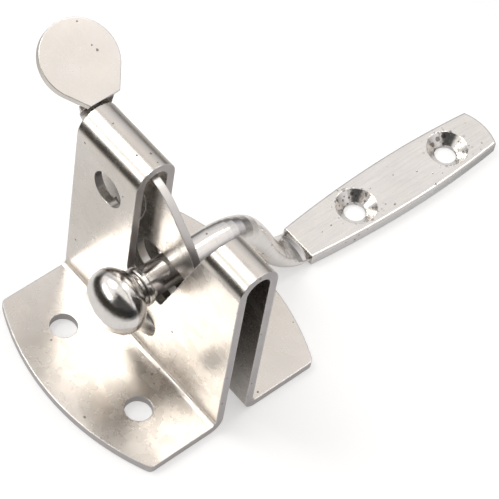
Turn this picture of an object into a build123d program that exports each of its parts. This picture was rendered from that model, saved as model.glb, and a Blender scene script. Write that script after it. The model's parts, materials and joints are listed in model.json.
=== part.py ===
"""Automatic gate latch: folded latch body, pivoting pawl, pivot rivet and striker bar.

Frame: X runs along the ridge of the latch body, Y from the ball end of the striker to its plate,
Z stands up from the mounting face. The origin is the centre of the mounting face (z = 0).
Units are millimetres.
"""

import os
from math import acos, asin, atan2, cos, hypot, pi, radians, sin, sqrt

from build123d import *

# ---- latch body: one strip of sheet folded to a hat section ----
SHEET = 1.6                     # sheet thickness
BODY_LENGTH = 42.0              # along the ridge
RIDGE_WIDTH = 8.2               # outside width of the ridge
RIDGE_HEIGHT = 43.4             # top of the ridge over the mounting face
FOLD_RADIUS = 1.0               # radius in the corner between wall and flange
FLANGE_SIDE = 18.2              # |y| where a flange's side edge ends
FLANGE_APEX = 23.1              # |y| of the middle of a flange's curved end
FLANGE_CORNER = 1.2             # rounding of the flange corners
SCREW_HOLE = 5.0                # diameter of the four fixing holes
SCREW_X, SCREW_Y = 10.5, 12.6   # fixing holes from the centre
LOCK_HOLE = 7.0                 # padlock hole through both walls
LOCK_X, LOCK_Z = -12.3, 33.0

# ---- notch across the ridge, seen along Y ----
NOTCH_LEFT = -5.4               # upright side, on the thumb tab's side
NOTCH_BOTTOM = 17.8
NOTCH_RIGHT_LOW = 3.8           # foot of the sloping side
NOTCH_RIGHT_TOP = 12.7          # the sloping side at the top of the ridge
NOTCH_CORNER = 1.0

# ---- pivot rivet ----
PIVOT_X, PIVOT_Z = -0.3, 9.2
RIVET_SHANK = 4.0
RIVET_HEAD = 7.4
RIVET_HEAD_HEIGHT = 1.4
RUNNING_FIT = 0.05              # radial clearance of the pawl on the rivet

# ---- pawl: a flat plate inside the ridge, its arm twisted into a round thumb tab ----
PAWL_SHEET = 1.5
PAWL_HUB = 5.0                  # hub radius round the pivot
LOCK_CLEARANCE = 0.5            # between the padlock holes' edge and the closed pawl
HOOK_INNER = 16.0               # inner edge of the hook, about the pivot
WEB_OUTER = 8.3                 # top of the web under the rod, about the pivot
MOUTH_END_X = -3.2              # centre of the mouth's round end
MOUTH_RIGHT_X = 4.2             # the web's top ends here
HOOK_TIP = (7.6, 27.2)          # outer corner of the hook tip
CAM_POINTS = ((6.2, 30.9), (4.0, 33.4), (2.1, 35.2), (-0.8, 38.0), (-3.1, 39.6))
CAM_END = (-6.0, 40.5)          # the cam edge meets the straight arm here
CAM_END_WAY = (-0.95, 0.25)     # direction of the edge there
ARM_TOP, ARM_LOW = 40.9, 37.1   # upper and lower edge of the arm inside the ridge
ARM_START_X, ARM_END_X = -9.5, -19.4
WEB_LEFT_TOP = (-8.1, 35.2)
WEB_LEFT_MID = (-10.6, 23.0)
WEB_FOOT_WAY = (0.5, -0.87)     # direction of the web's left edge where it meets the hub
HUB_MEETS_WEB = 30.0            # degrees below level where that edge meets the hub
LOCK_REACH = 35.0               # degrees above level to which the edge follows the padlock hole

# ---- thumb tab ----
TAB_RADIUS = 7.2
TAB_TILT = 25.0                 # degrees between the tab and the mounting face
TAB_CENTRE = (-28.9, 1.8, 46.4)
TAB_NECK_WIDTH = 6.2
TAB_NECK_REACH = 7.9            # from the tab's centre to the twisted neck
NECK_INSET = 0.2                # the neck is this much smaller where it runs into the tab
# centres of the twisted neck: x, y, z, twist in degrees, rise of its path in degrees, width
NECK_SECTIONS = (
    (-21.2, 0.0, 39.2, 6.0, 18.0, 3.9),
    (-22.4, 0.3, 40.1, 38.0, 52.0, 4.4),
    (-22.8, 0.9, 41.4, 72.0, 74.0, 5.3),
)

# ---- striker: rod, ball and plate in one piece ----
ROD_X, ROD_Z = 0.45, 21.3
ROD_RADIUS = 3.0
BALL_Y = -11.2                  # centre of the ball
BALL_RADIUS = 6.05
BALL_HALF_LENGTH = 4.4
BALL_STEPS = 8                  # spans of the ball's profile curve
GROOVE_RADIUS = 3.1
COLLAR_RADIUS = 3.6
COLLAR_Y = (-6.8, -5.6)
NECK_START_Y = 9.0
PLATE_Y = (32.4, 79.0)          # near end and far end of the plate
PLATE_THICKNESS = 2.5
PLATE_WIDTH = 10.3              # width beside each hole, a little more between them
PLATE_NEAR_WIDTH, PLATE_FAR_WIDTH = 7.9, 8.9
PLATE_BULGE = 1.0               # the far end bulges out by this
PLATE_EDGE = 0.4                # rounding of the plate's upper side edges
# striker neck between rod and plate: y, z, fall of its path in degrees, width, thickness
STRIKER_NECK = (
    (8.0, ROD_Z, 0.0, 5.94, 5.94),
    (10.0, 21.25, 3.0, 5.94, 5.94),
    (13.2, 20.6, 20.0, 5.98, 5.94),
    (17.2, 18.2, 45.0, 6.1, 5.7),
    (20.6, 13.4, 60.0, 6.3, 5.2),
    (23.6, 8.0, 59.0, 6.6, 4.7),
    (26.9, 3.9, 41.0, 7.0, 3.7),
    (30.4, 1.7, 16.0, 7.4, 2.5),
    (34.0, 1.15, 0.0, 7.2, 1.5),
)
STRIKER_HOLE = 4.2
COUNTERSINK = 8.0
STRIKER_HOLE_Y = (46.5, 69.4)

HALF_LENGTH = BODY_LENGTH / 2
HALF_RIDGE = RIDGE_WIDTH / 2
NECK_STEPS = 3                  # sections between two rows of a bent neck
CLOSE = 0.01                    # two coordinates nearer than this are the same


def along_y(radius, x, z, length):
    """A cylinder centred on y = 0 with its axis along Y."""
    return Pos(x, 0, z) * Rot(90, 0, 0) * Cylinder(radius, length)


def between(t, p, q, r, w):
    """The value at t, from 0 at q to 1 at r, on a smooth curve through p, q, r and w."""
    bend = (2 * p - 5 * q + 4 * r - w) * t**2 + (3 * q - p - 3 * r + w) * t**3
    return q + ((r - p) * t + bend) / 2


def smooth_rows(rows, steps):
    """Rows of numbers with extra rows put between them along a smooth curve through all of them."""
    padded = [rows[0], *rows, rows[-1]]
    result = [rows[0]]
    for before, a, b, after in zip(padded, padded[1:], padded[2:], padded[3:]):
        for step in range(1, steps + 1):
            result.append(tuple(between(step / steps, *four) for four in zip(before, a, b, after)))
    return result


def corners_at(face, x, y):
    """The corners of a flat face at (x, y) and (-x, y)."""
    return [v for v in face.vertices() if abs(abs(v.X) - x) < CLOSE and abs(v.Y - y) < CLOSE]


def hat_section():
    """Section of the folded strip across the ridge: what lies between its two faces."""
    cap_z = RIDGE_HEIGHT - HALF_RIDGE
    hollow = HALF_RIDGE - SHEET
    outside = Rectangle(2 * FLANGE_APEX, 2 * SHEET) + Pos(0, cap_z / 2) * Rectangle(RIDGE_WIDTH, cap_z)
    outside = fillet(corners_at(outside, HALF_RIDGE, SHEET), FOLD_RADIUS)
    outside += Pos(0, cap_z) * Circle(HALF_RIDGE)
    inside = Pos(0, -SHEET) * Rectangle(2 * FLANGE_APEX, 2 * SHEET)
    inside += Pos(0, cap_z / 2) * Rectangle(2 * hollow, cap_z)
    inside = fillet(corners_at(inside, hollow, 0), FOLD_RADIUS + SHEET)
    inside += Pos(0, cap_z) * Circle(hollow)
    return outside - inside


def body_outline():
    """Outline of the latch body seen from above, with its curved flange ends."""
    left, right = -HALF_LENGTH, HALF_LENGTH
    face = make_face([
        Line((left, -FLANGE_SIDE), (left, FLANGE_SIDE)),
        ThreePointArc((left, FLANGE_SIDE), (0, FLANGE_APEX), (right, FLANGE_SIDE)),
        Line((right, FLANGE_SIDE), (right, -FLANGE_SIDE)),
        ThreePointArc((right, -FLANGE_SIDE), (0, -FLANGE_APEX), (left, -FLANGE_SIDE)),
    ])
    return fillet(face.vertices(), FLANGE_CORNER)


def notch_outline():
    """The notch in the XZ plane, open at the top."""
    slope = (NOTCH_RIGHT_TOP - NOTCH_RIGHT_LOW) / (RIDGE_HEIGHT - NOTCH_BOTTOM)
    top = RIDGE_HEIGHT + SHEET
    right = NOTCH_RIGHT_LOW + slope * (top - NOTCH_BOTTOM)
    points = ((NOTCH_LEFT, NOTCH_BOTTOM), (NOTCH_RIGHT_LOW, NOTCH_BOTTOM), (right, top), (NOTCH_LEFT, top))
    face = make_face(Polyline(*points, close=True))
    return Plane.XZ * fillet([v for v in face.vertices() if v.Y < RIDGE_HEIGHT], NOTCH_CORNER)


def latch_body():
    """The folded body with notch, fixing holes, padlock holes and rivet holes."""
    strip = extrude(Plane.YZ * hat_section(), amount=HALF_LENGTH, both=True)
    strip &= extrude(body_outline(), amount=RIDGE_HEIGHT)
    strip -= extrude(notch_outline(), amount=RIDGE_WIDTH, both=True)
    for x in (-SCREW_X, SCREW_X):
        for y in (-SCREW_Y, SCREW_Y):
            strip -= Pos(x, y, SHEET / 2) * Cylinder(SCREW_HOLE / 2, 2 * SHEET)
    strip -= along_y(LOCK_HOLE / 2, LOCK_X, LOCK_Z, 2 * RIDGE_WIDTH)
    strip -= along_y(RIVET_SHANK / 2, PIVOT_X, PIVOT_Z, 2 * RIDGE_WIDTH)
    return strip


def pivot_rivet():
    """A rivet with a domed head on each wall."""
    half = RIVET_HEAD / 2
    dome = (half**2 + RIVET_HEAD_HEIGHT**2) / (2 * RIVET_HEAD_HEIGHT)
    head = Pos(0, 0, RIVET_HEAD_HEIGHT - dome) * Sphere(dome)
    head &= Pos(0, 0, RIVET_HEAD_HEIGHT / 2) * Box(RIVET_HEAD, RIVET_HEAD, RIVET_HEAD_HEIGHT)
    rivet = along_y(RIVET_SHANK / 2, PIVOT_X, PIVOT_Z, RIDGE_WIDTH)
    for side in (-1, 1):
        rivet += Pos(PIVOT_X, side * HALF_RIDGE, PIVOT_Z) * Rot(-90 * side, 0, 0) * head
    return rivet


def about_pivot(radius, x, side=1):
    """The point at a given x on a circle about the pivot, above it (side 1) or below it (side -1)."""
    return (x, PIVOT_Z + side * sqrt(radius**2 - (x - PIVOT_X) ** 2))


def mouth():
    """The pawl's mouth: a curved slot about the pivot with a round end, open past the hook."""
    middle = (HOOK_INNER + WEB_OUTER) / 2
    half = (HOOK_INNER - WEB_OUTER) / 2
    end_x, end_z = about_pivot(middle, MOUTH_END_X)
    start = atan2(end_z - PIVOT_Z, end_x - PIVOT_X)
    ring = Pos(PIVOT_X, PIVOT_Z) * (Circle(HOOK_INNER) - Circle(WEB_OUTER))
    reach = 2 * HOOK_INNER
    wedge = make_face(Polyline(
        (PIVOT_X, PIVOT_Z),
        (PIVOT_X + reach * cos(start), PIVOT_Z + reach * sin(start)),
        (PIVOT_X + reach, PIVOT_Z + reach),
        (PIVOT_X + reach, PIVOT_Z),
        close=True,
    ))
    return (ring & wedge) + Pos(end_x, end_z) * Circle(half)


def pawl_outline():
    """The flat part of the pawl in the XZ plane: hub, web, hook and arm."""
    lock_gap = LOCK_HOLE / 2 + LOCK_CLEARANCE
    below = radians(HUB_MEETS_WEB)
    hub_left = (PIVOT_X - PAWL_HUB * cos(below), PIVOT_Z - PAWL_HUB * sin(below))
    hub_right = (PIVOT_X + PAWL_HUB, PIVOT_Z)
    web_right = about_pivot(WEB_OUTER, MOUTH_RIGHT_X)
    tip_in = about_pivot(HOOK_INNER, HOOK_TIP[0] - PAWL_SHEET / 2)
    above = radians(LOCK_REACH)
    under_arm = (LOCK_X + lock_gap * cos(above), LOCK_Z + lock_gap * sin(above))
    face = make_face([
        Spline(HOOK_TIP, *CAM_POINTS, CAM_END),
        Spline(CAM_END, (ARM_START_X, ARM_TOP), tangents=[CAM_END_WAY, (-1, 0)]),
        Line((ARM_START_X, ARM_TOP), (ARM_END_X, ARM_TOP)),
        Line((ARM_END_X, ARM_TOP), (ARM_END_X, ARM_LOW)),
        Line((ARM_END_X, ARM_LOW), (LOCK_X, ARM_LOW)),
        Spline((LOCK_X, ARM_LOW), under_arm, WEB_LEFT_TOP, WEB_LEFT_MID, hub_left,
               tangents=[(1, 0), WEB_FOOT_WAY]),
        ThreePointArc(hub_left, (PIVOT_X, PIVOT_Z - PAWL_HUB), hub_right),
        Line(hub_right, web_right),
        Line(web_right, tip_in),
        Line(tip_in, HOOK_TIP),
    ])
    face -= mouth()
    tips = [v for v in face.vertices() if v.X > MOUTH_RIGHT_X - CLOSE and v.Y > PIVOT_Z + WEB_OUTER / 2]
    return fillet(tips, PAWL_SHEET / 3)


def tab_plane():
    """Middle plane of the thumb tab: x leads away from the neck, z is the tab's normal."""
    tilt = radians(TAB_TILT)
    return Plane(origin=TAB_CENTRE, x_dir=(-cos(tilt), 0, sin(tilt)), z_dir=(sin(tilt), 0, cos(tilt)))


def thumb_tab():
    """The round tab, with straight sides that run in to the neck."""
    half = TAB_NECK_WIDTH / 2
    reach = hypot(TAB_NECK_REACH, half)
    side = pi - asin(half / reach) - acos(min(1.0, TAB_RADIUS / reach))
    touch = (TAB_RADIUS * cos(side), TAB_RADIUS * sin(side))
    foot = (-TAB_NECK_REACH, half)
    mirrored = [(x, -y) for x, y in (foot, touch)]
    outline = Circle(TAB_RADIUS) + make_face(Polyline(foot, touch, mirrored[1], mirrored[0], close=True))
    return extrude(tab_plane() * outline, amount=PAWL_SHEET / 2, both=True)


def twisted_neck():
    """The arm's end, twisted a quarter turn up to the tab."""
    start = (ARM_END_X, 0, (ARM_TOP + ARM_LOW) / 2, 0, 0, ARM_TOP - ARM_LOW, PAWL_SHEET)
    middle = [(*row, PAWL_SHEET) for row in NECK_SECTIONS]
    tab = tab_plane()
    inside = tab.origin - tab.x_dir * (TAB_NECK_REACH - PAWL_SHEET / 2)
    end = (*inside, 90, TAB_TILT, TAB_NECK_WIDTH - NECK_INSET, PAWL_SHEET - NECK_INSET)
    sections = []
    for x, y, z, twist, rise, width, thickness in smooth_rows([start, *middle, end], NECK_STEPS):
        path = Vector(-cos(radians(rise)), 0, sin(radians(rise)))
        upright = Vector(sin(radians(rise)), 0, cos(radians(rise)))
        width_dir = upright * cos(radians(twist)) + Vector(0, 1, 0) * sin(radians(twist))
        sections.append(Plane(origin=(x, y, z), x_dir=width_dir, z_dir=path) * Rectangle(width, thickness))
    return loft(sections, ruled=True)


def pawl():
    """The whole pawl, with its bore for the rivet."""
    plate = extrude(Plane.XZ * pawl_outline(), amount=PAWL_SHEET / 2, both=True)
    whole = plate + twisted_neck() + thumb_tab()
    return whole - along_y(RIVET_SHANK / 2 + RUNNING_FIT, PIVOT_X, PIVOT_Z, RIDGE_WIDTH)


def striker_turned():
    """Ball, groove, collar and rod, turned about the rod's axis."""
    back_angle = pi - asin(GROOVE_RADIUS / BALL_RADIUS)
    angles = [back_angle * step / BALL_STEPS for step in range(BALL_STEPS + 1)]
    ball = [(BALL_Y - BALL_HALF_LENGTH * cos(a), BALL_RADIUS * sin(a)) for a in angles]
    leaving = (BALL_HALF_LENGTH * sin(back_angle), BALL_RADIUS * cos(back_angle))
    outline = make_face([
        Spline(*ball, tangents=[(0, 1), leaving]),
        Polyline(
            ball[-1],
            (COLLAR_Y[0], GROOVE_RADIUS),
            (COLLAR_Y[0], COLLAR_RADIUS),
            (COLLAR_Y[1], COLLAR_RADIUS),
            (COLLAR_Y[1], ROD_RADIUS),
            (NECK_START_Y, ROD_RADIUS),
            (NECK_START_Y, 0),
            ball[0],
        ),
    ])
    rims = [v for v in outline.vertices() if abs(v.Y - COLLAR_RADIUS) < CLOSE]
    outline = fillet(rims, (COLLAR_RADIUS - ROD_RADIUS) / 2)
    return Pos(ROD_X, 0, ROD_Z) * Rot(0, 0, 90) * revolve(outline, Axis.X)


def striker_neck():
    """The bent neck, round at the rod and flattened at the plate."""
    sections = []
    for y, z, fall, width, thickness in smooth_rows(STRIKER_NECK, NECK_STEPS):
        path = (0, cos(radians(fall)), -sin(radians(fall)))
        plane = Plane(origin=(ROD_X, y, z), x_dir=(1, 0, 0), z_dir=path)
        sections.append(plane * Ellipse(width / 2, thickness / 2))
    return loft(sections, ruled=True)


def striker_plate():
    """The barrel-shaped plate, flat on the mounting plane."""
    near, far = PLATE_Y
    half = PLATE_WIDTH / 2
    right = [(PLATE_NEAR_WIDTH / 2, near), *((half, y) for y in STRIKER_HOLE_Y),
             (PLATE_FAR_WIDTH / 2, far - PLATE_BULGE)]
    left = [(-x, y) for x, y in reversed(right)]
    outline = make_face([
        Line(left[-1], right[0]),
        Spline(*right),
        ThreePointArc(right[-1], (0, far), left[0]),
        Spline(*left),
    ])
    return extrude(Pos(ROD_X, 0) * outline, amount=PLATE_THICKNESS)


def striker():
    """Rod with ball, neck and plate, with rounded sides and two countersunk holes."""
    whole = striker_turned() + striker_neck() + striker_plate()
    upper = [e for e in whole.edges()
             if abs(e.center().Z - PLATE_THICKNESS) < CLOSE and e.center().Y > PLATE_Y[0] + PLATE_EDGE]
    whole = fillet(upper, PLATE_EDGE)
    sink = (COUNTERSINK - STRIKER_HOLE) / 2
    for y in STRIKER_HOLE_Y:
        whole -= Pos(ROD_X, y, 0) * Cylinder(STRIKER_HOLE / 2, 4 * PLATE_THICKNESS)
        whole -= Pos(ROD_X, y, PLATE_THICKNESS - sink / 2) * Cone(STRIKER_HOLE / 2, COUNTERSINK / 2, sink)
    return whole


def main():
    """Build every piece and write it."""
    os.makedirs("parts", exist_ok=True)
    for name, build in (
        ("latch_body", latch_body),
        ("pivot_rivet", pivot_rivet),
        ("pawl", pawl),
        ("striker", striker),
    ):
        shape = build()
        shape.label = name
        export_step(shape, f"parts/{name}.step")


main()
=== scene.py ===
"""Looks of a self-latching gate latch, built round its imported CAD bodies."""

import json
import logging
import math
from dataclasses import dataclass
from enum import Enum
from typing import ClassVar

import bpy
from mathutils import Matrix, Vector

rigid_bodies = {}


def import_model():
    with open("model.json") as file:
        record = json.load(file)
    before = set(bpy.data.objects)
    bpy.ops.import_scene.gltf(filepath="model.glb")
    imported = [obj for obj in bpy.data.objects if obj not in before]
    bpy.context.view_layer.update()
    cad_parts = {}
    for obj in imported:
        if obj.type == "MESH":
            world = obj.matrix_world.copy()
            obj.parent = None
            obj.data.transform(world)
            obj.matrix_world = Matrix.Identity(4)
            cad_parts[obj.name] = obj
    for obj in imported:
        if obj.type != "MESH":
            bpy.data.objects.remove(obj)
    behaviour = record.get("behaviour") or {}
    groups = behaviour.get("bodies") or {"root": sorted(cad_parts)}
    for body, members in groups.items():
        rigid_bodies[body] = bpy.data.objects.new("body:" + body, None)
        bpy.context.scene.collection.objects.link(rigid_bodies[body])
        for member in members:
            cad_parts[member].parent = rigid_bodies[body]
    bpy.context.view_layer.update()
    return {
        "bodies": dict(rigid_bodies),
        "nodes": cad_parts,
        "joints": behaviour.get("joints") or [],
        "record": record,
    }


LOG = logging.getLogger("gate_latch")
MM = 0.001
RAY_SAMPLES = 6  # rays of each Bevel and Ambient Occlusion node

Socket = bpy.types.NodeSocket
Tree = bpy.types.NodeTree
Colour = tuple[float, float, float, float]
Point = tuple[float, float, float]
Stops = tuple[tuple[float, Colour], ...]
Value = Socket | float | Colour | Point
Masks = dict[str, bpy.types.Node]


class Body(str, Enum):
    """Bodies of the frame that pieces ride on."""

    BASE = "base"
    PAWL = "pawl"
    STRIKER = "striker"


class Grain(Enum):
    """How a surface was worked before it was plated: lines per metre along X, Y and Z."""

    ROLLED = (90.0, 900.0, 500.0)
    GROUND = (2600.0, 160.0, 2200.0)
    TURNED = (300.0, 2400.0, 300.0)


class Nodes:
    """Small helper that adds and joins shader nodes in one tree."""

    def __init__(self, tree: Tree) -> None:
        """Keep the tree that nodes go into."""
        self.tree = tree

    def add(self, kind: str, label: str = "", **settings: object) -> bpy.types.Node:
        """Add a node and set its properties.

        Args:
            kind: the node's type name.
            label: what the node does, in plain words.
            settings: properties set on the node.

        Returns:
            The new node.
        """
        node = self.tree.nodes.new(kind)
        node.label = label
        for name, value in settings.items():
            setattr(node, name, value)
        return node

    def join(self, source: Socket, target: Socket) -> None:
        """Link one socket to another."""
        self.tree.links.new(source, target)

    def feed(self, target: Socket, value: Value) -> None:
        """Give an input a link or a plain value.

        Args:
            target: the input.
            value: the socket to link it to, or the value to set on it.
        """
        if isinstance(value, Socket):
            self.join(value, target)
        else:
            target.default_value = value

    def maths(self, operation: str, first: Value, second: Value = 0.0,
              clamp: bool = False) -> Socket:
        """Put in one Math node.

        Args:
            operation: the Math node's operation.
            first: its first input, a socket or a number.
            second: its second input, a socket or a number.
            clamp: whether the result is kept between 0 and 1.

        Returns:
            The node's output.
        """
        node = self.add("ShaderNodeMath", operation=operation, use_clamp=clamp)
        self.feed(node.inputs[0], first)
        self.feed(node.inputs[1], second)
        return node.outputs[0]

    def times(self, first: Value, second: Value, clamp: bool = False) -> Socket:
        """Two values multiplied."""
        return self.maths("MULTIPLY", first, second, clamp)

    def noise(self, vector: Socket, scale: float, detail: float = 4.0,
              rough: float = 0.55) -> Socket:
        """Put in one Noise Texture.

        Args:
            vector: the coordinates it reads.
            scale: its scale.
            detail: its octaves.
            rough: the weight of the finer octaves.

        Returns:
            The node's factor output.
        """
        node = self.add("ShaderNodeTexNoise")
        self.join(vector, node.inputs["Vector"])
        node.inputs["Scale"].default_value = scale
        node.inputs["Detail"].default_value = detail
        node.inputs["Roughness"].default_value = rough
        return node.outputs["Fac"]

    def ramp(self, value: Socket, stops: Stops) -> Socket:
        """Put in one Color Ramp.

        Args:
            value: the ramp's input.
            stops: position and colour of each stop.

        Returns:
            The ramp's colour output.
        """
        node = self.add("ShaderNodeValToRGB")
        elements = node.color_ramp.elements
        while len(elements) < len(stops):
            elements.new(0.5)
        for element, (position, colour) in zip(elements, stops):
            element.position = position
            element.color = colour
        self.join(value, node.inputs[0])
        return node.outputs[0]

    def mix(self, amount: Value, first: Value, second: Value, blend: str = "MIX") -> Socket:
        """Put in one colour Mix node.

        Args:
            amount: how much of the second colour shows.
            first: the first colour.
            second: the second colour.
            blend: the blend mode.

        Returns:
            The mixed colour.
        """
        node = self.add("ShaderNodeMix", data_type="RGBA", blend_type=blend)
        colours = [socket for socket in node.inputs if socket.type == "RGBA"]
        self.feed(node.inputs[0], amount)
        self.feed(colours[0], first)
        self.feed(colours[1], second)
        return next(socket for socket in node.outputs if socket.type == "RGBA")

    def place(self) -> Socket:
        """The point on the object, in metres."""
        return self.add("ShaderNodeTexCoord").outputs["Object"]

    def scaled_place(self, scale: Socket, label: str) -> Socket:
        """The point on the object, times a scale.

        Args:
            scale: the scale.
            label: what the scale sets, in plain words.

        Returns:
            The scaled coordinates.
        """
        place = self.place()
        node = self.add("ShaderNodeVectorMath", label, operation="SCALE")
        self.join(place, node.inputs[0])
        self.join(scale, node.inputs["Scale"])
        return node.outputs[0]

    def use(self, group: Tree, values: dict[str, float]) -> bpy.types.Node:
        """Put a shared group in with its own values.

        Args:
            group: the shared group.
            values: value of each named input.

        Returns:
            The group node.
        """
        node = self.add("ShaderNodeGroup", group.name)
        node.node_tree = group
        for name, value in values.items():
            node.inputs[name].default_value = value
        return node


OpenGroup = tuple[Tree, Nodes, bpy.types.Node, bpy.types.Node]


def grey(value: float) -> Colour:
    """A grey of one value."""
    return (value, value, value, 1.0)


def soft_step(n: Nodes, value: Socket, none_at: float, full_at: float) -> Socket:
    """A soft step of a value: 0 up to one place, 1 from another on."""
    return n.maths("DIVIDE", n.maths("SUBTRACT", value, none_at), full_at - none_at, clamp=True)


class EffectGroups:
    """Shader node groups that several finishes use, each built once."""

    NOISE_MIDDLE: ClassVar[float] = 0.5
    # gain of the bright edge mask, which is partly wear and partly a painted highlight
    RUBBED_AND_HIGHLIGHT_GAIN: ClassVar[float] = 1.6
    # painted shade in inner corners: its gain and reach
    PAINTED_CORNER_SHADE_GAIN: ClassVar[float] = 1.3
    PAINTED_CORNER_SHADE_REACH: ClassVar[float] = 6.0  # times the width of a worn edge: how far the painted shade in inner corners reaches
    # painted shadow in deep hollows: where it starts and how fast it darkens
    PAINTED_SHADOW_FROM: ClassVar[float] = 0.40
    PAINTED_SHADOW_GAIN: ClassVar[float] = 2.8
    SQUARE_ON: ClassVar[float] = 0.75  # a face that looks along an axis this much is cut
    UPRIGHT: ClassVar[float] = 0.5  # a face that looks up less than this is upright

    def __init__(self) -> None:
        """Build every group."""
        self.clouding = self._clouding()
        self.pits = self._pits()
        self.grain = self._grain()
        self.edges = self._edges()
        self.cut_faces = self._cut_faces()

    @staticmethod
    def _group(name: str, inputs: dict[str, float], outputs: tuple[str, ...]) -> OpenGroup:
        """Make an empty group with its sockets.

        Args:
            name: the group's name.
            inputs: default of each named input.
            outputs: names of the outputs.

        Returns:
            The group, its helper, its input node and its output node.
        """
        group = bpy.data.node_groups.new(name, "ShaderNodeTree")
        for label, default in inputs.items():
            socket = group.interface.new_socket(
                name=label, in_out="INPUT", socket_type="NodeSocketFloat")
            socket.default_value = default
        for label in outputs:
            group.interface.new_socket(
                name=label, in_out="OUTPUT", socket_type="NodeSocketFloat")
        n = Nodes(group)
        return group, n, n.add("NodeGroupInput"), n.add("NodeGroupOutput")

    def _clouding(self) -> Tree:
        """Broad soft changes in the plating: a mask that runs from thin to thick.

        Returns:
            The group.
        """
        group, n, source, result = self._group(
            "plating_clouds", {"Scale": 60.0, "Contrast": 1.0}, ("Mask",))
        place = n.scaled_place(source.outputs["Scale"], "size of the clouds")
        cloud = n.noise(place, 1.0, detail=3.0, rough=0.5)
        spread = n.times(n.maths("SUBTRACT", cloud, self.NOISE_MIDDLE), source.outputs["Contrast"])
        n.join(n.maths("ADD", spread, self.NOISE_MIDDLE, clamp=True), result.inputs["Mask"])
        return group

    def _pits(self) -> Tree:
        """Scattered dark specks and pinholes: a mask and a height.

        Returns:
            The group.
        """
        group, n, source, result = self._group(
            "specks", {"Scale": 900.0, "Share": 0.5, "Size": 0.22}, ("Mask", "Height"))
        place = n.scaled_place(source.outputs["Scale"], "size of the specks")
        cells = n.add("ShaderNodeTexVoronoi", "one speck to a cell", feature="F1")
        n.join(place, cells.inputs["Vector"])
        cells.inputs["Scale"].default_value = 1.0
        chance = n.add("ShaderNodeSeparateColor", "chance and size of a cell's speck")
        n.join(cells.outputs["Color"], chance.inputs[0])
        chosen = n.maths("LESS_THAN", chance.outputs[0], source.outputs["Share"])
        size = n.times(chance.outputs[1], source.outputs["Size"])
        mask = n.times(chosen, n.maths("LESS_THAN", cells.outputs["Distance"], size))
        n.join(mask, result.inputs["Mask"])
        n.join(n.maths("SUBTRACT", 1.0, mask), result.inputs["Height"])
        return group

    def _grain(self) -> Tree:
        """Fine lines left by rolling, grinding or turning, as a value about the middle.

        Returns:
            The group.
        """
        group, n, source, result = self._group(
            "worked_lines", {"Along X": 60.0, "Along Y": 900.0, "Along Z": 900.0}, ("Height",))
        stretch = n.add("ShaderNodeCombineXYZ", "lines per metre each way")
        for index, axis in enumerate("XYZ"):
            n.join(source.outputs[f"Along {axis}"], stretch.inputs[index])
        scaled = n.add("ShaderNodeVectorMath", operation="MULTIPLY")
        n.join(n.place(), scaled.inputs[0])
        n.join(stretch.outputs[0], scaled.inputs[1])
        lines = n.noise(scaled.outputs[0], 1.0, detail=5.0, rough=0.65)
        n.join(lines, result.inputs["Height"])
        return group

    def _edges(self) -> Tree:
        """Outer edges brightened by wear and by a painted highlight, painted shade in inner corners
        and a painted shadow in deep hollows, as three masks.

        Returns:
            The group.
        """
        group, n, source, result = self._group(
            "edge_wear_and_painted_light", {"Width": 0.35, "Break up": 400.0, "Painted shadow reach": 9.0},
            ("Rubbed and painted highlight", "Painted corner shade", "Painted hollow shadow"))
        place = n.scaled_place(source.outputs["Break up"], "size of the gaps in the wear")
        patchy = n.noise(place, 1.0, detail=3.0)
        reach = n.times(source.outputs["Width"], MM)
        # bright outer edges: partly wear, partly a painted highlight
        rubbed_and_highlight = n.times(self._closeness(n, reach, inside=True),
                         n.times(patchy, self.RUBBED_AND_HIGHLIGHT_GAIN), clamp=True)
        n.join(rubbed_and_highlight, result.inputs["Rubbed and painted highlight"])
        # painted shade darkening the inner corners
        corner = self._closeness(n, n.times(reach, self.PAINTED_CORNER_SHADE_REACH), inside=False)
        painted_corner_shade = n.times(corner, n.times(patchy, self.PAINTED_CORNER_SHADE_GAIN), clamp=True)
        n.join(painted_corner_shade, result.inputs["Painted corner shade"])
        # painted shadow darkening deep hollows
        deep = self._closeness(n, n.times(source.outputs["Painted shadow reach"], MM), inside=False)
        painted_hollow_shadow = n.times(n.maths("SUBTRACT", deep, self.PAINTED_SHADOW_FROM), self.PAINTED_SHADOW_GAIN, clamp=True)
        n.join(painted_hollow_shadow, result.inputs["Painted hollow shadow"])
        return group

    @staticmethod
    def _closeness(n: Nodes, reach: Socket, inside: bool) -> Socket:
        """How shut in a point is, from 0 in the open to 1.

        Args:
            n: the group's helper.
            reach: how far to look, in metres.
            inside: look into the metal, for outer edges, and not out of it.

        Returns:
            The closeness.
        """
        node = n.add("ShaderNodeAmbientOcclusion", samples=RAY_SAMPLES, inside=inside,
                     only_local=True)
        n.join(reach, node.inputs["Distance"])
        return n.maths("SUBTRACT", 1.0, node.outputs["AO"])

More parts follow.
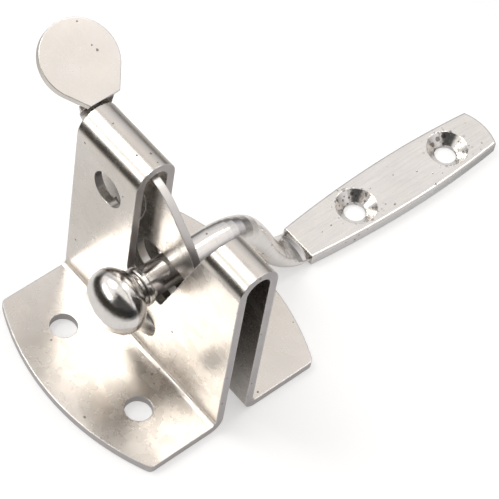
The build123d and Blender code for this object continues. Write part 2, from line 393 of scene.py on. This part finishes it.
    def _cut_faces(self) -> Tree:
        """The sheared faces of a part: those along a chosen axis, or upright and low.

        Returns:
            The group.
        """
        group, n, source, result = self._group(
            "cut_faces",
            {"Along X": 0.0, "Along Y": 0.0, "Along Z": 0.0, "Low edge": 0.0,
             "From X": -1.0, "From Y": -1.0},
            ("Mask",))
        coords = n.add("ShaderNodeTexCoord")
        facing = n.add("ShaderNodeSeparateXYZ")
        n.join(coords.outputs["Normal"], facing.inputs[0])
        place = n.add("ShaderNodeSeparateXYZ")
        n.join(coords.outputs["Object"], place.inputs[0])
        turned = {axis: n.maths("ABSOLUTE", facing.outputs[axis]) for axis in "XYZ"}
        total: Value = 0.0
        for axis in "XYZ":
            total = n.maths("ADD", n.times(turned[axis], source.outputs[f"Along {axis}"]), total)
        chosen = n.maths("GREATER_THAN", total, self.SQUARE_ON)
        low = n.maths("LESS_THAN", place.outputs["Z"], n.times(source.outputs["Low edge"], MM))
        upright = n.maths("LESS_THAN", turned["Z"], self.UPRIGHT)
        mask = n.maths("MAXIMUM", chosen, n.times(low, upright))
        for axis in "XY":
            limit = n.times(source.outputs[f"From {axis}"], MM)
            mask = n.times(mask, n.maths("GREATER_THAN", place.outputs[axis], limit))
        n.join(mask, result.inputs["Mask"])
        return group


@dataclass(frozen=True)
class CutRule:
    """Which faces of a part are sheared: weights on their facing, and limits in millimetres."""

    along_x: float = 0.0
    along_y: float = 0.0
    along_z: float = 0.0
    low_edge: float = 0.0
    from_x: float = -100.0
    from_y: float = -100.0

    def values(self) -> dict[str, float]:
        """The rule as inputs of the cut_faces group."""
        return {"Along X": self.along_x, "Along Y": self.along_y, "Along Z": self.along_z,
                "Low edge": self.low_edge, "From X": self.from_x, "From Y": self.from_y}


@dataclass(frozen=True)
class Tone:
    """A colour laid over the plating, and how strongly it shows at most."""

    colour: Colour
    amount: float

    def over(self, n: Nodes, mask: Socket, base: Value) -> Socket:
        """The base with this tone laid over it where the mask shows."""
        return n.mix(n.times(mask, self.amount), base, self.colour)


@dataclass(frozen=True)
class Burrs:
    """Dark grains and burrs left round drilled holes. Lengths are in millimetres."""

    centres: tuple[Point, ...]
    gone_at: float = 5.4
    fade: float = 2.0
    height: float = 0.12
    tone: Tone = Tone((0.17, 0.15, 0.13, 1.0), 0.80)

    COARSE: ClassVar[dict[str, float]] = {"Scale": 700.0, "Share": 0.60, "Size": 0.42}
    FINE: ClassVar[dict[str, float]] = {"Scale": 1500.0, "Share": 0.70, "Size": 0.45}

    def mask(self, n: Nodes, groups: EffectGroups) -> Socket:
        """Where the burrs are.

        Args:
            n: the material's helper.
            groups: the shared effect groups.

        Returns:
            Their mask.
        """
        coarse = n.use(groups.pits, self.COARSE).outputs["Mask"]
        fine = n.use(groups.pits, self.FINE).outputs["Mask"]
        place = n.place()
        near: Value = 0.0
        for centre in self.centres:
            gap = n.add("ShaderNodeVectorMath", "distance from a hole", operation="DISTANCE")
            n.join(place, gap.inputs[0])
            gap.inputs[1].default_value = Vector(centre) * MM
            inward = n.maths("SUBTRACT", self.gone_at * MM, gap.outputs["Value"])
            close = n.maths("DIVIDE", inward, self.fade * MM, clamp=True)
            near = n.maths("MAXIMUM", close, near)
        return n.times(n.maths("MAXIMUM", coarse, fine), near)


@dataclass(frozen=True)
class Relief:
    """Small shapes of the plating. Depths and the radius are in millimetres."""

    edge_radius: float = 0.28
    ripples: float = 0.35
    ripple_scale: float = 120.0
    ripple_depth: float = 0.25
    texture: float = 0.55
    texture_depth: float = 0.10
    fine_height: float = 0.05
    speck_height: float = 0.05

    @staticmethod
    def bump(n: Nodes, label: str, strength: float, depth: float,
             height: Socket, under: Socket) -> Socket:
        """Put in one Bump node.

        Args:
            n: the material's helper.
            label: what the bump makes, in plain words.
            strength: its strength.
            depth: its depth in millimetres.
            height: the height that it reads.
            under: the normal that it starts from.

        Returns:
            The new normal.
        """
        node = n.add("ShaderNodeBump", label)
        node.inputs["Strength"].default_value = strength
        node.inputs["Distance"].default_value = depth * MM
        n.join(height, node.inputs["Height"])
        n.join(under, node.inputs["Normal"])
        return node.outputs[0]

    def normal(self, n: Nodes, height: Socket) -> Socket:
        """Softened edges, then broad ripples, then the fine texture.

        Args:
            n: the material's helper.
            height: height of the fine texture.

        Returns:
            The normal.
        """
        rounded = n.add("ShaderNodeBevel", "softened edges", samples=RAY_SAMPLES)
        rounded.inputs["Radius"].default_value = self.edge_radius * MM
        ripple = n.noise(n.place(), self.ripple_scale, detail=1.0)
        broad = self.bump(n, "broad ripples", self.ripples, self.ripple_depth,
                          ripple, rounded.outputs[0])
        return self.bump(n, "plating texture", self.texture, self.texture_depth, height, broad)


@dataclass(frozen=True)
class ZincPlate:
    """Bright zinc over steel, with clouding, specks, worked lines, cut faces, worn edges with a
    painted highlight, and painted shade in corners and hollows.
    """

    name: str
    bright: Colour
    dull: Colour
    rough_low: float
    rough_high: float
    grain: Grain
    cut: CutRule
    cut_tone: Colour = (0.44, 0.425, 0.445, 1.0)
    line_depth: float = 0.10
    speck_share: float = 0.10
    stain: float = 0.28
    relief: Relief = Relief()
    burrs: Burrs | None = None

    # size and contrast of each layer of clouding
    CLOUDS: ClassVar[dict[str, tuple[float, float]]] = {
        "clouds": (95.0, 1.9),
        "tint": (150.0, 2.6),
        "stain": (52.0, 3.4),
        "mottle": (420.0, 1.6),
        "fine": (2600.0, 1.6),
    }
    # width of the worn, highlit edges, how far the wear breaks up, and reach of the painted shadow
    EDGES: ClassVar[dict[str, float]] = {"Width": 0.30, "Break up": 520.0, "Painted shadow reach": 9.0}
    SPECK_SCALE: ClassVar[float] = 950.0
    SPECK_SIZE: ClassVar[float] = 0.26
    WARM: ClassVar[Tone] = Tone((0.96, 0.84, 0.70, 1.0), 0.16)
    STAINED: ClassVar[Colour] = (0.47, 0.43, 0.36, 1.0)
    MOTTLED: ClassVar[Tone] = Tone((0.62, 0.60, 0.57, 1.0), 0.22)
    FINE: ClassVar[Tone] = Tone(grey(0.55), 0.16)
    STREAKED: ClassVar[Colour] = grey(0.48)
    STREAK_SHARE: ClassVar[float] = 0.45
    CUT_AMOUNT: ClassVar[float] = 0.70
    # bright outer edges: partly wear, partly a painted highlight
    RUBBED_AND_PAINTED_HIGHLIGHT: ClassVar[Tone] = Tone((0.95, 0.95, 0.96, 1.0), 0.60)
    # painted shade in inner corners
    PAINTED_CORNER_SHADE: ClassVar[Tone] = Tone((0.20, 0.17, 0.11, 1.0), 0.60)
    # painted shadow in deep hollows
    PAINTED_HOLLOW_SHADOW: ClassVar[Tone] = Tone((0.045, 0.034, 0.026, 1.0), 0.94)
    SPECKED: ClassVar[Tone] = Tone((0.15, 0.13, 0.11, 1.0), 0.70)
    STREAKS_FROM: ClassVar[float] = 0.38
    STREAKS_GAIN: ClassVar[float] = 4.0
    ROUGHER_SPECKS: ClassVar[float] = 0.35
    ROUGHER_CUT: ClassVar[float] = 0.16
    ROUGHER_CORNERS: ClassVar[float] = 0.12

    def build(self, groups: EffectGroups) -> bpy.types.Material:
        """Make the material.

        Args:
            groups: the shared effect groups.

        Returns:
            The finished material.
        """
        material = bpy.data.materials.new(self.name)
        material.use_nodes = True
        tree = material.node_tree
        tree.nodes.clear()
        n = Nodes(tree)
        output = n.add("ShaderNodeOutputMaterial")
        shader = n.add("ShaderNodeBsdfPrincipled")
        n.join(shader.outputs[0], output.inputs[0])
        shader.inputs["Metallic"].default_value = 1.0
        masks = self._masks(n, groups)
        colour = self._colour(n, masks)
        height = self._height(n, masks)
        if self.burrs:
            burred = self.burrs.mask(n, groups)
            colour = self.burrs.tone.over(n, burred, colour)
            height = n.maths("SUBTRACT", height, n.times(burred, self.burrs.height))
        n.join(colour, shader.inputs["Base Color"])
        n.join(self._roughness(n, masks), shader.inputs["Roughness"])
        n.join(self.relief.normal(n, height), shader.inputs["Normal"])
        return material

    def _masks(self, n: Nodes, groups: EffectGroups) -> Masks:
        """Place every shared effect with this finish's own values.

        Args:
            n: the material's helper.
            groups: the shared effect groups.

        Returns:
            The placed group nodes by name.
        """
        masks = {name: n.use(groups.clouding, {"Scale": scale, "Contrast": contrast})
                 for name, (scale, contrast) in self.CLOUDS.items()}
        masks["specks"] = n.use(groups.pits, {
            "Scale": self.SPECK_SCALE, "Share": self.speck_share, "Size": self.SPECK_SIZE})
        masks["lines"] = n.use(groups.grain, {
            f"Along {axis}": lines for axis, lines in zip("XYZ", self.grain.value)})
        masks["edges"] = n.use(groups.edges, self.EDGES)
        masks["cut"] = n.use(groups.cut_faces, self.cut.values())
        return masks

    def _colour(self, n: Nodes, masks: Masks) -> Socket:
        """Colour of the plating: one tone over another, the deepest last, with a painted highlight
        on worn edges and painted shade in corners and hollows.

        Args:
            n: the material's helper.
            masks: the placed effects.

        Returns:
            The colour.
        """
        edges = masks["edges"].outputs
        raised = n.maths("SUBTRACT", masks["lines"].outputs["Height"], self.STREAKS_FROM)
        streaks = n.times(raised, self.STREAKS_GAIN, clamp=True)
        colour = n.mix(masks["clouds"].outputs["Mask"], self.dull, self.bright)
        for mask, tone in (
            (masks["tint"].outputs["Mask"], self.WARM),
            (masks["stain"].outputs["Mask"], Tone(self.STAINED, self.stain)),
            (masks["mottle"].outputs["Mask"], self.MOTTLED),
            (masks["fine"].outputs["Mask"], self.FINE),
            (streaks, Tone(self.STREAKED, self.STREAK_SHARE * self.line_depth)),
            (masks["cut"].outputs["Mask"], Tone(self.cut_tone, self.CUT_AMOUNT)),
            # worn edges brightened, also as a painted highlight
            (edges["Rubbed and painted highlight"], self.RUBBED_AND_PAINTED_HIGHLIGHT),
            # painted shade in inner corners
            (edges["Painted corner shade"], self.PAINTED_CORNER_SHADE),
            # painted shadow in deep hollows
            (edges["Painted hollow shadow"], self.PAINTED_HOLLOW_SHADOW),
            (masks["specks"].outputs["Mask"], self.SPECKED),
        ):
            colour = tone.over(n, mask, colour)
        return colour

    def _roughness(self, n: Nodes, masks: Masks) -> Socket:
        """Roughness of the plating.

        Args:
            n: the material's helper.
            masks: the placed effects.

        Returns:
            The roughness.
        """
        spread = n.times(masks["mottle"].outputs["Mask"], self.rough_high - self.rough_low)
        rough = n.maths("ADD", spread, self.rough_low)
        for mask, more in (
            (masks["specks"].outputs["Mask"], self.ROUGHER_SPECKS),
            (masks["cut"].outputs["Mask"], self.ROUGHER_CUT),
            (masks["edges"].outputs["Painted corner shade"], self.ROUGHER_CORNERS),
        ):
            rough = n.maths("ADD", rough, n.times(mask, more), clamp=True)
        return rough

    def _height(self, n: Nodes, masks: Masks) -> Socket:
        """Height of the plating's fine texture.

        Args:
            n: the material's helper.
            masks: the placed effects.

        Returns:
            The height.
        """
        height = n.times(masks["lines"].outputs["Height"], self.line_depth)
        fine = n.times(masks["fine"].outputs["Mask"], self.relief.fine_height)
        specks = n.times(masks["specks"].outputs["Height"], self.relief.speck_height)
        return n.maths("ADD", n.maths("ADD", height, fine), specks)


@dataclass(frozen=True)
class PaleFloor:
    """A matt pale surface with a faint tooth that fades out away from the object, in metres."""

    name: str = "pale_floor"
    colour: Colour = (0.56, 0.555, 0.55, 1.0)
    tooth: Tone = Tone(grey(0.48), 0.05)
    tooth_scale: float = 900.0
    solid_to: float = 0.060
    gone_by: float = 0.105
    glow: float = 0.24
    lift: float = 0.24
    roughness: float = 0.9
    specular: float = 0.1

    def build(self) -> bpy.types.Material:
        """Make the floor's material.

        Returns:
            The finished material.
        """
        material = bpy.data.materials.new(self.name)
        material.use_nodes = True
        n = Nodes(material.node_tree)
        shader = material.node_tree.nodes["Principled BSDF"]
        place = n.place()
        tooth = n.noise(place, self.tooth_scale, detail=3.0)
        n.join(self.tooth.over(n, tooth, self.colour), shader.inputs["Base Color"])
        distance = n.add("ShaderNodeVectorMath", "distance from the object", operation="LENGTH")
        n.join(place, distance.inputs[0])
        fade = soft_step(n, distance.outputs["Value"], self.solid_to, self.gone_by)
        n.join(n.maths("SUBTRACT", 1.0, fade), shader.inputs["Alpha"])
        shader.inputs["Roughness"].default_value = self.roughness
        shader.inputs["Specular IOR Level"].default_value = self.specular
        shader.inputs["Emission Color"].default_value = grey(1.0)
        rays = n.add("ShaderNodeLightPath")
        glow = n.maths("ADD", n.times(rays.outputs["Is Camera Ray"], self.lift), self.glow)
        n.join(glow, shader.inputs["Emission Strength"])
        return material


@dataclass
class LatchPiece:
    """One rigid piece of the latch, kept from the frame. Sizes are in millimetres."""

    node: ClassVar[str]
    body: ClassVar[Body]

    def finish(self) -> ZincPlate:
        """The piece's finish."""
        raise NotImplementedError

    def dress(self, frame: dict, groups: EffectGroups) -> None:
        """Give the piece its finish.

        Args:
            groups: the shared effect groups.
        """
        material = self.finish().build(groups)
        slots = frame["nodes"][self.node].data.materials
        if not slots:
            slots.append(material)
        for index in range(len(slots)):
            slots[index] = material
        LOG.info("%s rides on %s, finished in %s", self.node, self.body.value, material.name)


@dataclass
class LatchBody(LatchPiece):
    """The folded body: one strip of rolled sheet, sheared at its ends and flanges."""

    node: ClassVar[str] = "latch_body"
    body: ClassVar[Body] = Body.BASE
    flange_edge: float = 1.55

    def finish(self) -> ZincPlate:
        """Rolled sheet with grey sheared edges.

        Returns:
            The finish.
        """
        return ZincPlate(
            "zinc_rolled_sheet", (0.82, 0.77, 0.735, 1.0), (0.71, 0.665, 0.61, 1.0), 0.19, 0.34,
            Grain.ROLLED, CutRule(along_x=1.0, low_edge=self.flange_edge))


@dataclass
class PivotRivet(LatchPiece):
    """The rivet that the pawl turns on."""

    node: ClassVar[str] = "pivot_rivet"
    body: ClassVar[Body] = Body.BASE

    def finish(self) -> ZincPlate:
        """Turned pin, plated all over.

        Returns:
            The finish.
        """
        return ZincPlate(
            "zinc_rivet", (0.78, 0.75, 0.70, 1.0), (0.62, 0.58, 0.52, 1.0), 0.20, 0.34,
            Grain.TURNED, CutRule())


@dataclass
class Pawl(LatchPiece):
    """The stamped lever with its twisted arm and round thumb tab."""

    node: ClassVar[str] = "pawl"
    body: ClassVar[Body] = Body.PAWL
    twist_starts: float = -20.0

    def finish(self) -> ZincPlate:
        """Stamped sheet, its cut edges plated nearly as bright as its faces.

        Returns:
            The finish.
        """
        return ZincPlate(
            "zinc_stamped_lever", (0.82, 0.785, 0.75, 1.0), (0.72, 0.68, 0.63, 1.0), 0.18, 0.32,
            Grain.ROLLED, CutRule(along_x=1.0, along_z=1.0, from_x=self.twist_starts),
            cut_tone=(0.78, 0.76, 0.74, 1.0))


@dataclass
class Striker(LatchPiece):
    """The striker bar: ball, groove, rod, bent neck and drilled plate."""

    node: ClassVar[str] = "striker"
    body: ClassVar[Body] = Body.STRIKER
    rod_x: float = 0.45
    plate_starts: float = 33.0
    plate_edge: float = 2.0
    near_hole: tuple[float, float] = (46.5, 2.0)
    far_hole: tuple[float, float] = (69.4, 1.6)

    def finish(self) -> ZincPlate:
        """Ground bar, streaked along the plate, with burrs round both drilled holes.

        Returns:
            The finish.
        """
        return ZincPlate(
            "zinc_ground_bar", (0.92, 0.89, 0.87, 1.0), (0.83, 0.80, 0.77, 1.0), 0.10, 0.22,
            Grain.GROUND, CutRule(low_edge=self.plate_edge, from_y=self.plate_starts),
            cut_tone=(0.74, 0.73, 0.75, 1.0), line_depth=0.40, speck_share=0.20, stain=0.10,
            burrs=Burrs(((self.rod_x, *self.near_hole), (self.rod_x, *self.far_hole))))


@dataclass(frozen=True)
class SoftBox:
    """A rectangular soft light that looks at the object from one side, in metres and watts."""

    name: str
    side: Point
    size: tuple[float, float]
    power: float
    reach: float = 0.9

    def build(self, aim: Vector) -> None:
        """Hang the light.

        Args:
            aim: the point that it looks at.
        """
        data = bpy.data.lights.new(self.name, "AREA")
        data.shape = "RECTANGLE"
        data.size, data.size_y = self.size
        data.energy = self.power
        side = Vector(self.side)
        light = bpy.data.objects.new(self.name, data)
        light.location = aim + side.normalized() * self.reach
        light.rotation_euler = (-side).to_track_quat("-Z", "Y").to_euler()
        bpy.context.scene.collection.objects.link(light)


@dataclass(frozen=True)
class DarkPatch:
    """A dark cloth over the front of the room, held between limits on two directions."""

    across: Point = (0.897, 0.369, -0.224)
    over: Point = (-0.20, 0.814, 0.538)
    across_edge: tuple[float, float] = (-0.45, -0.30)
    near_edge: tuple[float, float] = (0.16, 0.02)
    far_edge: tuple[float, float] = (-0.80, -0.65)
    tone: Tone = Tone((0.03, 0.03, 0.032, 1.0), 0.95)

    @staticmethod
    def _lean(n: Nodes, coords: Socket, way: Point) -> Socket:
        """How far a direction of the room leans towards a given one.

        Args:
            n: the room's helper.
            coords: the direction.
            way: the direction that it is held against.

        Returns:
            The lean, 1 where the two are the same.
        """
        node = n.add("ShaderNodeVectorMath", operation="DOT_PRODUCT")
        n.join(coords, node.inputs[0])
        node.inputs[1].default_value = Vector(way).normalized()
        return node.outputs["Value"]

    def over_room(self, n: Nodes, coords: Socket, room: Socket) -> Socket:
        """Hang the patch in the room.

        Args:
            n: the room's helper.
            coords: the direction looked in.
            room: the room's colour without it.

        Returns:
            The room's colour with it.
        """
        across = self._lean(n, coords, self.across)
        over = self._lean(n, coords, self.over)
        mask = n.times(soft_step(n, across, *self.across_edge), soft_step(n, over, *self.near_edge))
        return self.tone.over(n, n.times(mask, soft_step(n, over, *self.far_edge)), room)


@dataclass(frozen=True)
class Room:
    """The room that the metal mirrors: pale, dark low down, with a dark patch over the front."""

    behind: Stops = (
        (0.0, (0.80, 0.79, 0.78, 1.0)),
        (0.44, (0.50, 0.48, 0.45, 1.0)),
        (0.50, (0.12, 0.115, 0.11, 1.0)),
        (0.56, (0.20, 0.20, 0.20, 1.0)),
        (0.66, (0.74, 0.74, 0.77, 1.0)),
        (0.88, (1.10, 1.08, 1.07, 1.0)),
        (1.0, (1.10, 1.08, 1.06, 1.0)),
    )
    ahead: Stops = (
        (0.0, (0.80, 0.79, 0.76, 1.0)),
        (0.20, (0.60, 0.57, 0.50, 1.0)),
        (0.29, (0.06, 0.05, 0.04, 1.0)),
        (0.59, (0.035, 0.033, 0.03, 1.0)),
        (0.63, (0.80, 0.78, 0.75, 1.0)),
        (0.68, (1.25, 1.23, 1.20, 1.0)),
        (1.0, (1.15, 1.13, 1.10, 1.0)),
    )
    right_side: tuple[float, float] = (-0.30, 0.10)
    right_shade: Tone = Tone((1.05, 1.03, 1.02, 1.0), 0.6)
    right_glow: Tone = Tone((1.30, 1.28, 1.26, 1.0), 0.12)
    divide_lean: float = 0.20
    divide: tuple[float, float] = (0.05, -0.05)
    gap_width: tuple[float, float] = (0.07, 0.02)
    gap_height: tuple[float, float] = (0.2, 0.4)
    gap_tone: Tone = Tone(grey(0.12), 0.75)
    patch: DarkPatch = DarkPatch()
    strength: float = 0.88

    def _colour(self, n: Nodes) -> Socket:
        """Colour of the room in each direction.

        Args:
            n: the room's helper.

        Returns:
            The colour.
        """
        coords = n.add("ShaderNodeTexCoord").outputs["Generated"]
        split = n.add("ShaderNodeSeparateXYZ")
        n.join(coords, split.inputs[0])
        across, along, up = (split.outputs[axis] for axis in "XYZ")
        level = n.maths("ADD", n.times(up, 0.5), 0.5)
        behind = n.ramp(level, self.behind)
        ahead = n.ramp(level, self.ahead)
        right = soft_step(n, across, *self.right_side)
        for tone, blend in ((self.right_shade, "MULTIPLY"), (self.right_glow, "ADD")):
            behind = n.mix(n.times(right, tone.amount), behind, tone.colour, blend=blend)
        edge = n.maths("SUBTRACT", along, n.times(up, self.divide_lean))
        room = n.mix(soft_step(n, edge, *self.divide), behind, ahead)
        gap = n.times(soft_step(n, n.maths("ABSOLUTE", edge), *self.gap_width),
                      soft_step(n, up, *self.gap_height))
        return self.patch.over_room(n, coords, self.gap_tone.over(n, gap, room))

    def build(self) -> None:
        """Make the world: the room for mirrored light, plain white behind the object."""
        world = bpy.data.worlds.new("room")
        world.use_nodes = True
        bpy.context.scene.world = world
        n = Nodes(world.node_tree)
        background = world.node_tree.nodes["Background"]
        n.join(self._colour(n), background.inputs["Color"])
        background.inputs["Strength"].default_value = self.strength
        paper = n.add("ShaderNodeBackground", "white seen behind the object")
        paper.inputs["Color"].default_value = grey(1.0)
        paper.inputs["Strength"].default_value = 1.0
        rays = n.add("ShaderNodeLightPath")
        choice = n.add("ShaderNodeMixShader")
        n.join(rays.outputs["Is Camera Ray"], choice.inputs[0])
        n.join(background.outputs[0], choice.inputs[1])
        n.join(paper.outputs[0], choice.inputs[2])
        n.join(choice.outputs[0], world.node_tree.nodes["World Output"].inputs["Surface"])


@dataclass(frozen=True)
class ViewCamera:
    """The camera: angles in degrees, lens in millimetres, the rest in metres."""

    aim: Point = (0.00032, 0.01968, 0.01058)
    azimuth: float = 40.97
    elevation: float = 54.16
    roll: float = 10.97
    distance: float = 0.44782
    lens: float = 183.7
    clip_start: float = 0.01

    def build(self) -> None:
        """Set the camera up at its viewing angle."""
        azimuth, elevation, roll = map(math.radians, (self.azimuth, self.elevation, self.roll))
        level = math.cos(elevation)
        towards = Vector((-math.sin(azimuth) * level, math.cos(azimuth) * level,
                          -math.sin(elevation)))
        right = Vector((math.cos(azimuth), math.sin(azimuth), 0.0))
        up = right.cross(towards)
        tilted_right = right * math.cos(roll) + up * math.sin(roll)
        tilted_up = up * math.cos(roll) - right * math.sin(roll)
        turn = Matrix((tilted_right, tilted_up, -towards)).transposed().to_4x4()
        data = bpy.data.cameras.new("camera")
        data.lens = self.lens
        data.clip_start = self.clip_start
        camera = bpy.data.objects.new("camera", data)
        place = Vector(self.aim) - towards * self.distance
        camera.matrix_world = Matrix.Translation(place) @ turn
        bpy.context.scene.collection.objects.link(camera)
        bpy.context.scene.camera = camera


@dataclass(frozen=True)
class Studio:
    """Pale floor, camera, soft lights and the mirrored room. Lengths are in metres."""

    floor_half: float = 0.18
    floor_drop: float = 0.0002
    view: ViewCamera = ViewCamera()
    boxes: tuple[SoftBox, ...] = (
        SoftBox("left_box", (-0.45, -0.28, 0.85), (0.34, 0.34), 2.1),
        SoftBox("back_box", (-0.02, 0.44, 0.89), (0.12, 0.42), 0.7),
        SoftBox("front_box", (-0.42, -0.80, 0.42), (0.70, 0.20), 1.1),
    )
    room: Room = Room()

    def floor(self) -> None:
        """Lay the pale floor under the mounting face."""
        half = self.floor_half
        corners = [(-half, -half, 0.0), (half, -half, 0.0), (half, half, 0.0), (-half, half, 0.0)]
        mesh = bpy.data.meshes.new("floor")
        mesh.from_pydata(corners, [], [(0, 1, 2, 3)])
        floor = bpy.data.objects.new("floor", mesh)
        floor.location.z = -self.floor_drop
        mesh.materials.append(PaleFloor().build())
        bpy.context.scene.collection.objects.link(floor)

    def build(self) -> None:
        """Build the floor, the camera, the lights and the room."""
        self.floor()
        self.view.build()
        for box in self.boxes:
            box.build(Vector(self.view.aim))
        self.room.build()
        bpy.context.scene.view_settings.view_transform = "Standard"
        LOG.info("studio set up with %d soft boxes", len(self.boxes))


def main() -> None:
    """Build the studio and dress the latch."""
    logging.basicConfig(level=logging.INFO, format="%(name)s: %(message)s")
    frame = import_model()
    Studio().build()
    groups = EffectGroups()
    for piece in (LatchBody(), PivotRivet(), Pawl(), Striker()):
        piece.dress(frame, groups)


if __name__ == "__main__":
    main()
